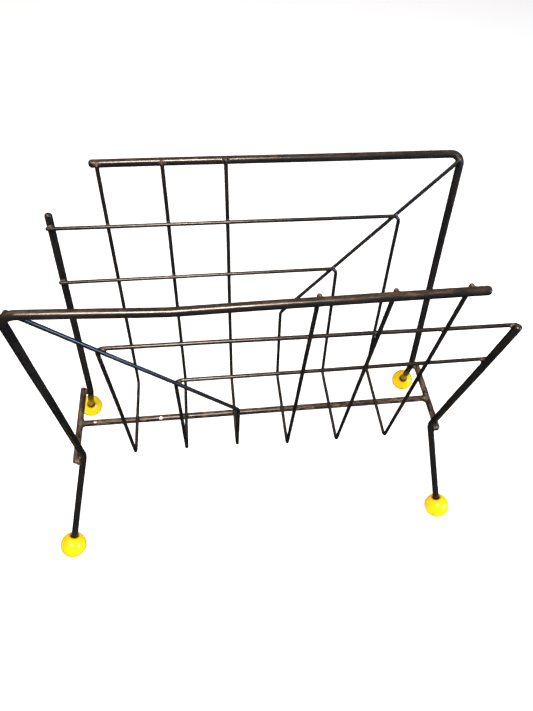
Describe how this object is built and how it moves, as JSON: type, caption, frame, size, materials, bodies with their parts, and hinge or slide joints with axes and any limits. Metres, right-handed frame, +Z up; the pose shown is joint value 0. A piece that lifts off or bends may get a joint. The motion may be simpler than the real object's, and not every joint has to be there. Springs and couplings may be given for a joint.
{
  "type": "magazine rack",
  "caption": "Free-standing wire magazine rack: two leaning panels of welded steel rod and wire form an open basket on splayed legs with ball feet.",
  "frame": {"origin": "on the surface it stands on, at the middle of the rack", "axes": "+X along the rack, +Y across it towards the back panel, +Z up"},
  "size_m": [0.4226, 0.2046, 0.3572],
  "materials": {
    "black_paint": "worn satin black paint on steel rod",
    "yellow_lacquer": "glossy yellow lacquer on turned wood",
    "painted_weld": "black paint over weld beads, slightly rough"
  },
  "bodies": {
    "root": {"front_frame": "black_paint", "back_frame": "black_paint", "front_lone_leg": "black_paint", "back_lone_leg": "black_paint", "left_end_bar": "black_paint", "right_end_bar": "black_paint", "centre_bar": "black_paint", "front_wire_outer": "black_paint", "front_wire_middle": "black_paint", "front_wire_inner": "black_paint", "back_wire_outer": "black_paint", "back_wire_middle": "black_paint", "back_wire_inner": "black_paint", "ball_front_left": "yellow_lacquer", "ball_front_right": "yellow_lacquer", "ball_back_left": "yellow_lacquer", "ball_back_right": "yellow_lacquer", "front_rail_welds": "painted_weld", "back_rail_welds": "painted_weld", "front_lattice_welds": "painted_weld", "back_lattice_welds": "painted_weld", "front_leg_welds": "painted_weld", "back_leg_welds": "painted_weld", "front_corner_weld": "painted_weld", "back_corner_weld": "painted_weld", "floor_welds": "painted_weld", "base_welds": "painted_weld"}
  },
  "joints": []
}
